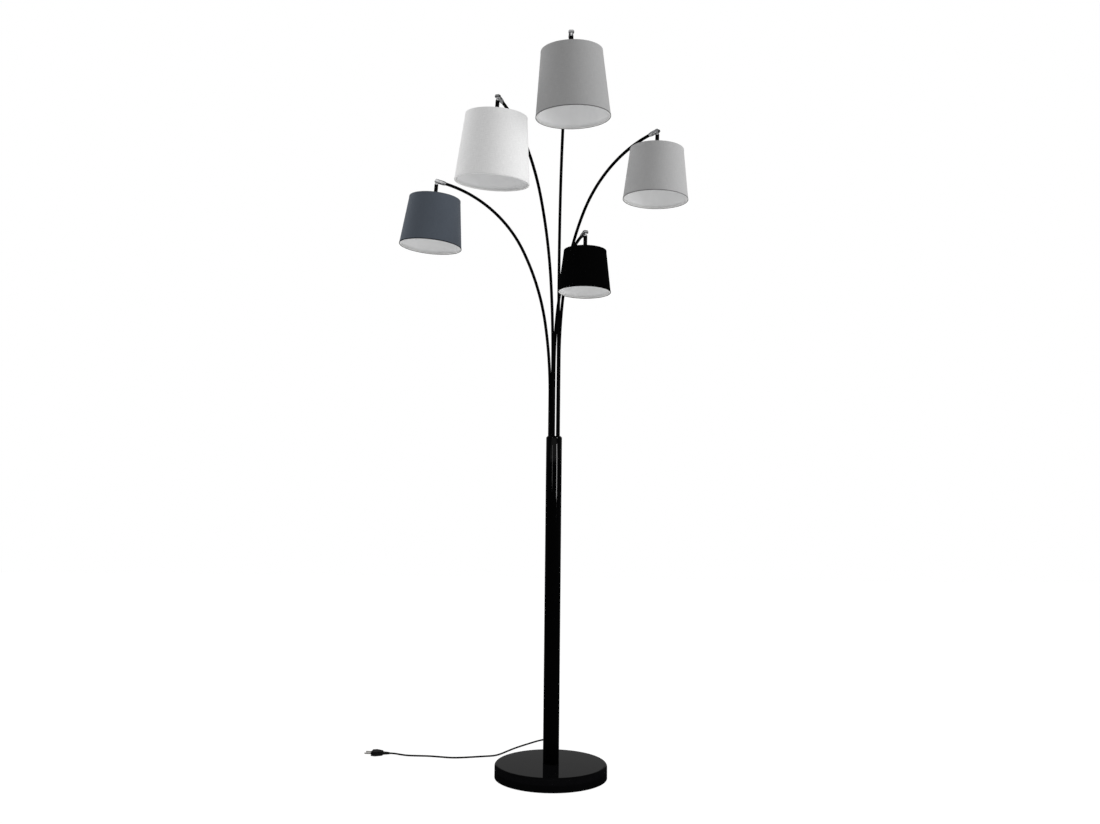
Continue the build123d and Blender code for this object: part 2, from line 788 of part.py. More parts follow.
with BuildPart() as cord_coil:
    with BuildLine() as path:
        FilletPolyline(*lead_points, radius=corner_radii(lead_points))
        for (start, start_way), (end, end_way) in zip(coil_nodes, coil_nodes[1:]):
            for arc in biarc(start, start_way, end, end_way):
                add(arc)
    with BuildSketch(Plane(origin=gland_end, z_dir=Vector(*lead_points[1]) - gland_end)):
        Circle(cord_radius)
    sweep(path=path.line)
coil_path = Wire(path.edges())
coil_gap = least_gap(coil_path, cord_diameter)
print("coil length", round(coil_path.length), "least gap", round(coil_gap, 2))
print("lead-in radii", [round(radius) for radius in corner_radii(lead_points)])
save(cord_coil.part, "cord_coil")

# ---------------------------------------------------------------- cord across the floor
run_points = [
    tuple(coil_nodes[-1][0]),
    tuple(coil_nodes[-1][0] + Vector(0, run_straight, 0)),
    (20.4, 262.0, 6.2),
    (21.4, 290.0, 3.2),
    (20.6, 322.0, floor_level),
    (21.2, 354.0, floor_level),
    (20.6, 384.0, floor_level),
    (21.2, 405.0, floor_level),
    (14.0, 418.0, floor_level),
    (-1.0, 424.5, floor_level),
    (-16.5, 421.0, floor_level),
    (-37.0, 404.0, floor_level),
    (-60.0, 375.0, floor_level),
    (-87.0, 339.0, floor_level),
    (-113.0, 302.0, floor_level),
    (-136.0, 261.0, floor_level),
    (-153.0, 230.0, floor_level),
    (-171.0, 212.0, floor_level),
    (-196.0, 206.0, floor_level),
    (-231.0, 196.5, floor_level),
    (-266.0, 187.5, floor_level),
    (-295.0, 185.0, floor_level),
    (-325.0, 192.5, floor_level),
    (-362.0, 202.0, floor_level),
    (-400.0, 203.5, floor_level),
    (-430.0, 206.0, floor_level),
    (-452.0, 209.5, 4.6),
    (-469.0, 211.5, plug_level),
    (-483.0, 212.8, plug_level),
]
plug_way = Vector(run_points[-1][0] - run_points[-2][0], run_points[-1][1] - run_points[-2][1], 0)
plug_way = plug_way.normalized()
with BuildPart() as cord_run:
    with BuildLine() as path:
        FilletPolyline(*run_points, radius=corner_radii(run_points))
    with BuildSketch(
        Plane(origin=run_points[0], z_dir=Vector(*run_points[1]) - Vector(*run_points[0]))
    ):
        Circle(cord_radius)
    sweep(path=path.line)
run_path = Wire(path.edges())
section = pi * cord_radius**2
coil_share = cord_coil.part.volume / (section * coil_path.length)
run_share = cord_run.part.volume / (section * run_path.length)
print("run length", round(run_path.length), "run radii", list(map(round, corner_radii(run_points))))
print("volume over section times length", round(coil_share, 4), round(run_share, 4))
save(cord_run.part, "cord_run")

# ---------------------------------------------------------------- tie round the coil
inner_reach = sqrt((coil_radii[half_turns_in] - cord_radius) ** 2 - (tie_width / 2) ** 2)
outer_reach = coil_outer_radius - coil_pitch / 2 + cord_radius
tie_low = coil_bottom - tie_gap
tie_high = coil_top_level + cord_radius + tie_gap
tie_length = outer_reach - inner_reach + 2 * tie_gap
tie_height = tie_high - tie_low
with BuildPart() as cord_tie:
    with BuildSketch(Plane.XZ.offset(-coil_centre_y - tie_width / 2)):
        with Locations(
            (
                coil_centre_x - (inner_reach + outer_reach) / 2,
                (tie_low + tie_high) / 2,
            )
        ):
            RectangleRounded(tie_length + 2 * tie_wall, tie_height + 2 * tie_wall, tie_corner)
            RectangleRounded(tie_length, tie_height, tie_corner - tie_wall, mode=Mode.SUBTRACT)
    extrude(amount=tie_width)
save(cord_tie.part, "cord_tie")

# ---------------------------------------------------------------- plug
plug_origin = Vector(*run_points[-1])
plug_plan = Plane(
    origin=plug_origin - Vector(0, 0, plug_thickness / 2),
    x_dir=plug_way,
    z_dir=(0, 0, 1),
)
body_start = plug_relief_length
body_end = plug_relief_length + plug_body_length
with BuildPart() as mains_plug:
    with BuildSketch(plug_plan):
        with BuildLine():
            Polyline(
                (body_start, -plug_rear_width / 2),
                (body_end - plug_nose_length, -plug_front_width / 2),
                (body_end, -plug_front_width / 2 + plug_nose_step),
                (body_end, plug_front_width / 2 - plug_nose_step),
                (body_end - plug_nose_length, plug_front_width / 2),
                (body_start, plug_rear_width / 2),
                close=True,
            )
        make_face()
    extrude(amount=plug_thickness)
    fillet(mains_plug.edges().filter_by(Axis.Z), plug_corner_radius)
    chamfer(mains_plug.faces().filter_by(Axis.Z).edges(), plug_corner_radius / 2)
    with BuildSketch(Plane(origin=plug_origin, z_dir=plug_way)):
        Circle(cord_radius + plug_relief_tip_wall)
    relief_root = plug_origin + plug_way * (body_start + plug_corner_radius / 2)
    with BuildSketch(Plane(origin=relief_root, z_dir=plug_way)):
        Circle(cord_radius + plug_relief_root_wall)
    loft()
    for side in (-1, 1):
        pin_root = plug_plan.from_local_coords(
            (body_end, side * pin_spacing / 2, plug_thickness / 2)
        )
        with BuildSketch(Plane(origin=pin_root, z_dir=plug_way)):
            Circle(pin_diameter / 2)
        extrude(amount=pin_length)
save(mains_plug.part, "mains_plug")
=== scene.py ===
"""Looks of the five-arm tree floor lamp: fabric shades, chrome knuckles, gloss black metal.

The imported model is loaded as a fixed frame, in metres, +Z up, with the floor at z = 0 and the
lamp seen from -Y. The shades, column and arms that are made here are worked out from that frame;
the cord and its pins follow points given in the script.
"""

import json
from math import atan, cos, pi, sin

import bpy
import numpy as np
from bpy.props import FloatProperty, FloatVectorProperty, PointerProperty
from mathutils import Matrix, Vector


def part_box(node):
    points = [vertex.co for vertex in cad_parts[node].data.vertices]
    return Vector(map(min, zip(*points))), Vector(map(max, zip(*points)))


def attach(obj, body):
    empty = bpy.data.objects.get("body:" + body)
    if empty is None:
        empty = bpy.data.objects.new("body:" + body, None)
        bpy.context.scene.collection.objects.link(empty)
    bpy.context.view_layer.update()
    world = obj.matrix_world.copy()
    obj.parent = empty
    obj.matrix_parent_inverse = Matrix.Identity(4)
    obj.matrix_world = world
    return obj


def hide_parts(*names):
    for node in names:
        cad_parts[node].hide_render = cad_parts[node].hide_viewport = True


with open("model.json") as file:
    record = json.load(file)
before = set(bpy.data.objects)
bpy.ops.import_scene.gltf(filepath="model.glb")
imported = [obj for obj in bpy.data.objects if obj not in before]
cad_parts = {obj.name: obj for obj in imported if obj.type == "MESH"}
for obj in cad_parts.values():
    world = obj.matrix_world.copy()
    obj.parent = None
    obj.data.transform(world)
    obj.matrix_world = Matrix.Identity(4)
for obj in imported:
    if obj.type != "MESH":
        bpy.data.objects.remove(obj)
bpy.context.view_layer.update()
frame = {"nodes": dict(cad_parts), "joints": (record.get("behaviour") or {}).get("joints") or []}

bl_info = {
    "name": "Tree floor lamp",
    "version": (1, 0, 0),
    "blender": (4, 5, 0),
    "location": "View3D > Sidebar > Lamp",
    "description": "Dresses a five-arm floor lamp with fabric shades, chrome and gloss black paint",
    "category": "Object",
}

MM = 0.001
ARMS = ("left", "low", "right", "top", "upper_left")

# the photograph's camera, found from the base, the column and the cord on the floor
IMAGE_WIDTH = 1100
FOCAL_PIXELS = 1060.0
SENSOR_WIDTH = 36.0
CAMERA_PLACE = (-0.01246, -3.02375, 0.82901)
CAMERA_PITCH = atan(68 / FOCAL_PIXELS)
CAMERA_ROLL = 0.0103


# ---------------------------------------------------------------- settings in the sidebar
def colour(name, description, default):
    """A colour setting with red, green and blue."""
    return FloatVectorProperty(
        name=name, description=description, default=default, size=3, min=0, max=1,
        subtype="COLOR",
    )


def length(name, description, default):
    """A length setting in metres."""
    return FloatProperty(name=name, description=description, default=default, unit="LENGTH")


def power(name, description, default):
    """A light's power in watts."""
    return FloatProperty(name=name, description=description, default=default, unit="POWER")


def share(name, description, default):
    """A setting between nought and one."""
    return FloatProperty(name=name, description=description, default=default, min=0, max=1)


class ShadeLooks(bpy.types.PropertyGroup):
    """Fabric and lining of the shades."""

    left: colour("Left", "Fabric of the left shade", (0.086, 0.101, 0.124))
    low: colour("Low", "Fabric of the low shade", (0.001, 0.001, 0.0011))
    right: colour("Right", "Fabric of the right shade", (0.42, 0.42, 0.422))
    top: colour("Top", "Fabric of the top shade", (0.37, 0.37, 0.372))
    upper_left: colour("Upper left", "Fabric of the upper left shade", (0.86, 0.86, 0.86))
    lining: colour("Lining", "Inner lining", (0.85, 0.852, 0.855))
    thread: length("Thread", "Pitch of the weave", 0.0006)
    hem_rise: length("Hem rise", "How far the hem stands proud of the fabric", 0.00035)
    hem_width: length("Hem width", "Width of the folded hem", 0.006)
    turn_in: length("Turn-in", "Fabric turned in over the lower ring", 0.0035)
    seam_width: length("Seam width", "Overlap of the glued seam", 0.009)


class MetalLooks(bpy.types.PropertyGroup):
    """Paint and chrome."""

    paint: colour("Paint", "Gloss black paint of the column and arms", (0.0008, 0.0008, 0.0009))
    base_paint: colour("Base paint", "Gloss black paint of the base", (0.0024, 0.0024, 0.0027))
    paint_roughness: share("Paint roughness", "Roughness of the base and column", 0.05)
    tube_roughness: share("Tube roughness", "Roughness of the arms and necks", 0.3)
    column_gloss: share("Column gloss", "Strength of the gloss of the column", 0.08)
    tube_gloss: share("Tube gloss", "Strength of the gloss of the arms and necks", 0.04)
    base_gloss: share("Base gloss", "Strength of the gloss of the base", 0.007)
    arm_diameter: length("Arm", "Diameter of the arms", 0.0085)
    arm_wall: length("Arm wall", "Thickness of the arms' wall", 0.00125)
    bead_rise: length("Bead", "How far the bead stands out of the arm", 0.0012)
    chrome: colour("Chrome", "Chrome plating", (0.6, 0.605, 0.615))
    chrome_roughness: share("Chrome roughness", "Roughness of the chrome", 0.07)


class CordLooks(bpy.types.PropertyGroup):
    """Mains cord and plug."""

    sheath: colour("Sheath", "Black plastic of the cord and plug", (0.0035, 0.0035, 0.0035))
    diameter: length("Diameter", "Diameter of the cord", 0.005)
    pin: colour("Pins", "Nickel-plated plug pins", (0.7, 0.68, 0.62))


class StageLooks(bpy.types.PropertyGroup):
    """Room, floor and lights."""

    ambient: share("Ambient", "Light that comes from all round", 0.575)
    front: share("Front", "Brightness of the room in front, as gloss sees it", 0.02)
    around: share("Around", "Brightness of the room at the sides, as gloss sees it", 0.06)
    overhead: share("Overhead", "Brightness of the canopy, as gloss sees it", 1.0)
    right_power: power("Right light", "Power of the right softbox", 36.0)
    left_power: power("Left light", "Power of the left softbox", 26.0)
    strip_power: power("Right strip", "Power of the strip that the column mirrors", 90.0)
    left_strip_power: power("Left strip", "Power of its fainter twin at the left", 11.25)
    panel_power: power("Back panel", "Power of the panel that the base's top mirrors", 12.0)
    bounce_power: power("Floor bounce", "Power of the light from the floor", 19.0)
    floor_white: share("Floor white", "How far the floor is lifted to white for the camera", 0.86)


# ---------------------------------------------------------------- materials
class Finish:
    """A node material in the making: its nodes, links and Principled shader."""

    def __init__(self, name, base=(0.5, 0.5, 0.5), roughness=0.5, metallic=0.0, specular=0.5):
        self.material = bpy.data.materials.new(name)
        self.material.use_nodes = True
        self.tree = self.material.node_tree
        self.shader = self.tree.nodes["Principled BSDF"]
        self.set("Base Color", (*base, 1))
        self.set("Roughness", roughness)
        self.set("Metallic", metallic)
        self.set("Specular IOR Level", specular)

    def set(self, socket, value):
        """Sets one of the shader's own sockets."""
        self.shader.inputs[socket].default_value = value

    def node(self, kind, **settings):
        """Adds a node and sets its properties."""
        made = self.tree.nodes.new(kind)
        for key, value in settings.items():
            setattr(made, key, value)
        return made

    def link(self, output, to):
        """Joins an output to an input."""
        self.tree.links.new(output, to)

    def math(self, operation, first, second=None):
        """A Math node on sockets or numbers; returns its output."""
        made = self.node("ShaderNodeMath", operation=operation)
        for slot, value in enumerate((first, second)):
            if value is None:
                continue
            if isinstance(value, (int, float)):
                made.inputs[slot].default_value = value
            else:
                self.link(value, made.inputs[slot])
        return made.outputs[0]

    def place(self, kind="Object"):
        """Object coordinates, or the piece's own UV map."""
        return self.node("ShaderNodeTexCoord").outputs[kind]

    def noise(self, vector, scale, detail=3.0, roughness=0.5, stretch=None):
        """Noise on a vector, optionally stretched; returns its value output."""
        if stretch is not None:
            mapping = self.node("ShaderNodeMapping")
            mapping.inputs["Scale"].default_value = stretch
            self.link(vector, mapping.inputs["Vector"])
            vector = mapping.outputs["Vector"]
        made = self.node("ShaderNodeTexNoise")
        made.inputs["Scale"].default_value = scale
        made.inputs["Detail"].default_value = detail
        made.inputs["Roughness"].default_value = roughness
        self.link(vector, made.inputs["Vector"])
        return made.outputs["Fac"]

    def spread(self, value, low, high):
        """Maps a value from 0..1 to low..high."""
        made = self.node("ShaderNodeMapRange")
        made.inputs["To Min"].default_value = low
        made.inputs["To Max"].default_value = high
        self.link(value, made.inputs["Value"])
        return made.outputs["Result"]

    def bump(self, height, distance, strength=1.0):
        """Bump from a height socket, distance in metres."""
        made = self.node("ShaderNodeBump")
        made.inputs["Strength"].default_value = strength
        made.inputs["Distance"].default_value = distance
        self.link(height, made.inputs["Height"])
        self.link(made.outputs["Normal"], self.shader.inputs["Normal"])

    def tint(self, factor, dark, light):
        """Base colour between two colours by a factor."""
        made = self.node("ShaderNodeMix", data_type="RGBA")
        made.inputs["A"].default_value = (*dark, 1)
        made.inputs["B"].default_value = (*light, 1)
        self.link(factor, made.inputs["Factor"])
        self.link(made.outputs["Result"], self.shader.inputs["Base Color"])


def scaled(tone, factor):
    """A colour made lighter or darker, kept within one."""
    return tuple(min(1.0, channel * factor) for channel in tone)


def paint_finish(name, tone, roughness, specular):
    """Gloss black stove enamel, with a thin film of dust that changes its gloss a little."""
    finish = Finish(name, tone, roughness, specular=specular)
    dust = finish.noise(finish.place(), 60.0, detail=5.0, roughness=0.6)
    finish.link(finish.spread(dust, roughness * 0.7, roughness * 1.4),
                finish.shader.inputs["Roughness"])
    finish.tint(dust, scaled(tone, 0.7), scaled(tone, 1.4))
    return finish.material


def chrome_finish(tone, roughness):
    """Chrome plating over a polished casting: fine hairlines and soft unevenness."""
    finish = Finish("knuckle_chrome", tone, roughness, metallic=1.0)
    place = finish.place()
    cloud = finish.noise(place, 90.0, detail=3.0)
    finish.link(finish.spread(cloud, roughness * 0.7, roughness * 1.4),
                finish.shader.inputs["Roughness"])
    finish.tint(cloud, scaled(tone, 0.94), scaled(tone, 1.05))
    finish.bump(finish.noise(place, 120.0, detail=1.0), 0.00002, 0.1)
    return finish.material


def fabric_finish(name, tone, thread):
    """Plain-woven shade fabric on the piece's own UV map, which is laid out in metres.

    The weave's height is sin(pi u / p) times sin(pi v / p), so threads pass over and under each
    other at the pitch p. Slubs are noise drawn out along each thread direction.
    """
    brightness = max(tone)
    finish = Finish(name, tone, 0.82, specular=0.02 + 0.2 * min(1.0, 5 * brightness))
    uv = finish.place("UV")
    axes = finish.node("ShaderNodeSeparateXYZ")
    finish.link(uv, axes.inputs[0])
    waves = []
    for axis in ("X", "Y"):
        turns = finish.math("MULTIPLY", axes.outputs[axis], pi / thread)
        waves.append(finish.math("SINE", turns))
    weave = finish.math("MULTIPLY", *waves)
    warp = finish.noise(uv, 1.0, detail=4.0, stretch=(1500.0, 60.0, 1.0))
    weft = finish.noise(uv, 1.0, detail=4.0, stretch=(60.0, 1500.0, 1.0))
    slub = finish.math("MULTIPLY", finish.math("ADD", warp, weft), 0.5)
    height = finish.math("ADD", weave, finish.math("MULTIPLY", slub, 2.5))
    finish.bump(height, thread * 0.16, 0.5)
    shade = finish.math("ADD", slub, finish.math("MULTIPLY", weave, 0.08))
    finish.tint(finish.spread(shade, -0.45, 1.45), scaled(tone, 0.84), scaled(tone, 1.16))
    finish.set("Sheen Weight", min(0.15, brightness))
    finish.set("Sheen Roughness", 0.4)
    return finish.material


def lining_finish(tone):
    """White styrene sheet that the fabric is laminated to: smooth with a faint pebble."""
    finish = Finish("shade_lining", tone, 0.42, specular=0.35)
    uv = finish.place("UV")
    pebble = finish.noise(uv, 1400.0, detail=2.0)
    cloud = finish.noise(uv, 14.0, detail=3.0)
    finish.tint(cloud, scaled(tone, 0.95), scaled(tone, 1.04))
    finish.bump(pebble, 0.00004, 0.3)
    return finish.material


def plastic_finish(name, tone, roughness, grain=700.0):
    """Moulded plastic with a fine spark-eroded grain."""
    finish = Finish(name, tone, roughness, specular=0.4)
    place = finish.place()
    speckle = finish.noise(place, grain, detail=3.0)
    finish.link(finish.spread(speckle, roughness * 0.85, roughness * 1.2),
                finish.shader.inputs["Roughness"])
    finish.tint(speckle, scaled(tone, 0.85), scaled(tone, 1.2))
    finish.bump(speckle, 0.00003, 0.4)
    return finish.material


def glass_finish():
    """Opal glass of a lamp bulb, white coating seen through a clear gloss."""
    finish = Finish("bulb_opal", (0.86, 0.855, 0.83), 0.2, specular=0.5)
    cloud = finish.noise(finish.place(), 60.0, detail=2.0)
    finish.tint(cloud, (0.83, 0.825, 0.8), (0.88, 0.875, 0.855))
    finish.set("Coat Weight", 0.6)
    finish.set("Coat Roughness", 0.04)
    return finish.material


def steel_finish(name, tone, roughness):
    """Bare or zinc-plated steel with turning marks."""
    finish = Finish(name, tone, roughness, metallic=1.0)
    cloud = finish.noise(finish.place(), 200.0, detail=5.0, stretch=(1.0, 1.0, 6.0))
    finish.link(finish.spread(cloud, roughness * 0.7, roughness * 1.4),
                finish.shader.inputs["Roughness"])
    finish.tint(cloud, scaled(tone, 0.8), scaled(tone, 1.15))
    return finish.material


def iron_finish():
    """Raw cast iron: coarse sand grain and dark mottling."""
    finish = Finish("weight_iron", (0.05, 0.05, 0.052), 0.7, metallic=0.6)
    place = finish.place()
    grain = finish.noise(place, 380.0, detail=5.0, roughness=0.7)
    finish.tint(finish.noise(place, 30.0, detail=5.0), (0.03, 0.03, 0.031), (0.085, 0.083, 0.08))
    finish.bump(grain, 0.0004, 0.8)
    return finish.material


def felt_finish():
    """Pressed felt pad: fibres at two scales."""
    finish = Finish("pad_felt", (0.014, 0.014, 0.015), 0.95, specular=0.1)
    place = finish.place()
    fibre = finish.noise(place, 900.0, detail=6.0, roughness=0.8)
    finish.tint(fibre, (0.008, 0.008, 0.009), (0.03, 0.03, 0.031))
    finish.bump(fibre, 0.0003, 0.7)
    finish.set("Sheen Weight", 0.3)
    return finish.material


def cord_finish(name, tone):
    """Extruded cord sheath: soft gloss, with faint marks that run along it."""
    finish = Finish(name, tone, 0.38, specular=0.05)
    marks = finish.noise(finish.place(), 260.0, detail=4.0)
    finish.link(finish.spread(marks, 0.3, 0.5), finish.shader.inputs["Roughness"])
    finish.tint(marks, scaled(tone, 0.8), scaled(tone, 1.25))
    finish.bump(marks, 0.00004, 0.3)
    return finish.material


def dress(material, *names):
    """Gives CAD nodes their material."""
    for name in names:
        slots = frame["nodes"][name].data.materials
        slots.clear()
        slots.append(material)


# ---------------------------------------------------------------- surfaces
def grid_piece(name, points, materials, close_rows, uv=None, rows_of_material=None):
    """A mesh from a grid of points: rows run along the profile, columns run round and close.

    Face (i, j) joins rows i and i + 1 with columns j and j + 1; the last column joins the first
    and, where close_rows is true, the last row joins the first.
    """
    rows, columns = points.shape[:2]
    bands = rows if close_rows else rows - 1
    i, j = np.meshgrid(np.arange(bands), np.arange(columns), indexing="ij")
    corners = ((i, j), (i + 1, j), (i + 1, j + 1), (i, j + 1))
    faces = np.stack([(a % rows) * columns + b % columns for a, b in corners], -1)
    mesh = bpy.data.meshes.new(name)
    mesh.from_pydata(points.reshape(-1, 3), [], faces.reshape(-1, 4))
    for material in materials:
        mesh.materials.append(material)
    if rows_of_material is not None:
        mesh.polygons.foreach_set("material_index", np.repeat(rows_of_material, columns))
    if uv is not None:
        along, around = uv
        layer = mesh.uv_layers.new(name="UVMap")
        spots = np.stack([np.stack([around[b], along[a]], -1) for a, b in corners], 2)
        layer.data.foreach_set("uv", spots.reshape(-1).astype(np.float32))
    mesh.polygons.foreach_set("use_smooth", np.ones(len(mesh.polygons), bool))
    mesh.validate()
    piece = bpy.data.objects.new(name, mesh)
    bpy.context.scene.collection.objects.link(piece)
    return piece


def revolved(profile, origin, axis, across, columns):
    """Turns a profile of (radius, distance along the axis) rows about an axis.

    A point is origin + axis * distance + radius * (across * cos t + third * sin t), for t all
    the way round in equal steps.
    """
    third = np.cross(axis, across)
    turn = np.linspace(0, 2 * pi, columns, endpoint=False)
    rim = np.outer(np.cos(turn), across) + np.outer(np.sin(turn), third)
    return origin + profile[:, 1, None, None] * axis + profile[:, 0, None, None] * rim


def merged_points(node):
    """Distinct vertices of a CAD node, as an array."""
    mesh = frame["nodes"][node].data
    points = np.empty(len(mesh.vertices) * 3, np.float32)
    mesh.vertices.foreach_get("co", points)
    return np.unique(np.round(points.reshape(-1, 3).astype(float), 6), axis=0)


class Head:
    """Place and size of one lamp head, read from the frame.

    The pivot and pin come from the tilt joint. The way down is from the pivot to the middle of
    the shade's vertices, which lies on the shade's axis.
    """

    def __init__(self, arm):
        self.arm = arm
        self.body = f"head_{arm}"
        joint = next(j for j in frame["joints"] if j["name"] == f"tilt_{arm}")
        self.pivot = np.array(joint["pos_m"])
        self.pin = np.array(joint["axis"])
        points = merged_points(f"shade_{arm}") - self.pivot
        self.down = points.mean(0) / np.linalg.norm(points.mean(0))
        depth = points @ self.down
        radius = np.linalg.norm(points - np.outer(depth, self.down), axis=1)
        self.top, self.bottom = depth.min(), depth.max()
        at_top = depth < self.top + 0.1 * MM
        at_bottom = depth > self.bottom - 0.1 * MM
        self.top_radius = radius[at_top].max()
        self.bottom_radius = radius[at_bottom].max()
        self.wall = self.bottom_radius - radius[at_bottom].min()


# ---------------------------------------------------------------- column and arms
COLUMN_WALL = 0.0015
COLUMN_LIP = 0.0001
COLUMN_BANDS = 12
COLUMN_SIDES = 120

# the bends of an arm, from the column up: (radius in metres before the arm's factor, degrees)
BENDS = ((1.363, 8.8), (0.692, 18.4), (0.354, 49.5))
BEND_STEPS = (28, 32, 56)
PIVOT_AFTER_BENDS = 0.022
TUBE_AFTER_BENDS = 0.006
BEAD_LEVELS = (0.8623, 0.8673)
ARM_SIDES = 40


def make_column(paint):
    """The column's tube: its wall's outline, with a small bevel at each corner, turned about Z."""
    low, high = (np.array(corner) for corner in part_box("column_tube"))
    radius = (high[0] - low[0]) / 2
    span = high[2] - low[2]
    bore = radius - COLUMN_WALL
    bands = [(radius, span * k / COLUMN_BANDS) for k in range(1, COLUMN_BANDS)]
    wall = np.array([
        (radius - COLUMN_LIP, 0), (radius, COLUMN_LIP), *bands,
        (radius, span - COLUMN_LIP), (radius - COLUMN_LIP, span),
        (bore + COLUMN_LIP, span), (bore, span - COLUMN_LIP),
        (bore, COLUMN_LIP), (bore + COLUMN_LIP, 0),
    ])
    points = revolved(wall, np.array((0, 0, low[2])), np.array((0, 0, 1.0)),
                      np.array((1.0, 0, 0)), COLUMN_SIDES)
    piece = grid_piece("column_shell", points[::-1], [paint], True)
    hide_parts("column_tube")
    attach(piece, "stand")
    return piece


class ArmLine:
    """Centre line of one arm, read from its joints: upright, three bends and a straight tip.

    A bend of radius r from lean a to lean b reaches out by r (cos a - cos b) and rises by
    r (sin b - sin a). One factor scales the three radii, and comes from the arm's whole reach.
    """

    def __init__(self, arm):
        joints = {joint["name"]: joint for joint in frame["joints"]}
        self.root = np.array(joints[f"swivel_{arm}"]["pos_m"]) * (1, 1, 0)
        pivot = np.array(joints[f"tilt_{arm}"]["pos_m"])
        away = (pivot - self.root) * (1, 1, 0)
        self.outward = away / np.linalg.norm(away)
        self.lateral = np.cross((0, 0, 1), self.outward)
        self.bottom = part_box(f"arm_tube_{arm}")[0][2]
        leans = np.radians(np.cumsum([0] + [angle for _radius, angle in BENDS]))
        radii = np.array([radius for radius, _angle in BENDS])
        self.tip = leans[-1]
        reach = (radii * -np.diff(np.cos(leans))).sum()
        bend = (np.linalg.norm(away) - PIVOT_AFTER_BENDS * sin(self.tip)) / reach
        steps = [np.linspace(*ends, count)
                 for ends, count in zip(zip(leans, leans[1:]), BEND_STEPS)]
        self.lean = np.concatenate([[0], *[step[1:] for step in steps], [self.tip]])
        curve = np.concatenate([np.full(len(step) - 1, radius * bend)
                                for step, radius in zip(steps, radii)])
        turned = self.lean[:-1]
        out = np.concatenate([[0], np.cumsum(-np.diff(np.cos(turned)) * curve)])
        up = np.concatenate([[0], np.cumsum(np.diff(np.sin(turned)) * curve)])
        self.out = np.append(out, out[-1] + TUBE_AFTER_BENDS * sin(self.tip))
        self.up = np.append(up, up[-1] + TUBE_AFTER_BENDS * cos(self.tip))
        self.start = pivot[2] - up[-1] - PIVOT_AFTER_BENDS * cos(self.tip)


def make_arm(arm, looks, paint):
    """One arm's tube: a ring carried along its centre line, up the outside and down the bore.

    A ring's point is centre + radius * (cos t * lateral + sin t * normal), where normal is the
    outward direction turned down by the line's lean. The bead is two pairs of rings.
    """
    line = ArmLine(arm)
    upward = np.array((0, 0, 1.0))
    low, high = BEAD_LEVELS
    heights = np.array([line.bottom, low, low, high, high])
    swell = np.array([0, 0, looks.bead_rise, looks.bead_rise, 0])
    straight = np.zeros(len(heights))
    out = np.concatenate([straight, line.out])
    level = np.concatenate([heights, line.start + line.up])
    lean = np.concatenate([straight, line.lean])
    radius = looks.arm_diameter / 2 + np.concatenate([swell, np.zeros(len(line.lean))])
    bore = np.full(len(lean), looks.arm_diameter / 2 - looks.arm_wall)
    out, level, lean = (np.concatenate([row, row[::-1]]) for row in (out, level, lean))
    radius = np.concatenate([radius, bore])
    centre = line.root + out[:, None] * line.outward + level[:, None] * upward
    normal = np.cos(lean)[:, None] * line.outward - np.sin(lean)[:, None] * upward
    turn = np.linspace(0, 2 * pi, ARM_SIDES, endpoint=False)
    ring = (np.cos(turn)[:, None] * line.lateral)[None] + np.sin(turn)[:, None] * normal[:, None]
    points = centre[:, None] + radius[:, None, None] * ring
    piece = grid_piece(f"bent_tube_{arm}", points, [paint], True)
    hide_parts(f"arm_tube_{arm}")
    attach(piece, f"arm_{arm}")


# ---------------------------------------------------------------- shades
LINING_LIP = 0.0002
SEAM_LIFT = 0.00028
WAVE_RISE = 0.00009
HEM_ROWS = 9
CLOTH_ROWS = 22
LINING_ROWS = 20
EDGE_ROWS = 9
SHADE_SIDES = 150
SEAM_SIDES = 15


def shade_profile(head, looks):
    """Closed outline of a shade's wall as (radius, depth) rows, with each band's material.

    It runs down the outside, round the lower edge, up the lining and round the upper edge. The
    outside stands proud at both hems by the smooth step s * s * (3 - 2 * s). The edges are half
    circles. The bands are 0 for cloth, 1 for lining and 2 for painted shade round the lower edge,
    a darker copy of the cloth.
    """
    slope = (head.bottom_radius - head.top_radius) / (head.bottom - head.top)
    roll = head.wall / 2 + looks.hem_rise / 2

    def outside(depth):
        edge = np.minimum(depth - head.top, head.bottom - depth)
        step = np.clip((looks.hem_width - edge) / (0.25 * looks.hem_width), 0, 1)
        rise = looks.hem_rise * step * step * (3 - 2 * step)
        return head.top_radius + slope * (depth - head.top) + rise - looks.hem_rise

    ends = np.linspace(0, looks.hem_width * 1.1, HEM_ROWS)
    inset = looks.hem_width * 1.3
    middle = np.linspace(inset, head.bottom - head.top - inset, CLOTH_ROWS)
    depth = head.top + roll + np.concatenate([ends, middle])
    mirrored = head.bottom - roll - ends[::-1]
    depth = np.concatenate([depth[:-1], mirrored])
    outer = np.stack([outside(depth), depth], 1)
    turn = np.linspace(0, pi, EDGE_ROWS)[1:-1]
    low_edge = np.stack(
        [outside(head.bottom - roll) - roll + roll * np.cos(turn),
         head.bottom - roll + roll * np.sin(turn)], 1)
    lining_depth = np.concatenate(
        [[head.bottom - roll, head.bottom - roll - looks.turn_in],
         np.linspace(head.bottom - roll - looks.turn_in * 1.05, head.top + roll, LINING_ROWS)])
    lining = np.stack(
        [head.top_radius + slope * (lining_depth - head.top) - head.wall, lining_depth], 1)
    lining[:2, 0] -= LINING_LIP
    high_edge = np.stack(
        [outside(head.top + roll) - roll - roll * np.cos(turn),
         head.top + roll - roll * np.sin(turn)], 1)
    profile = np.concatenate([outer, low_edge, lining, high_edge])
    band = np.zeros(len(profile), int)
    turned_in = len(outer) + len(low_edge) + 1
    band[turned_in:turned_in + len(lining) - 2] = 1
    # band 2 takes a darker copy of the cloth: painted shade on the roll under the lower hem
    band[len(outer) - 3:turned_in] = 2
    return profile, band


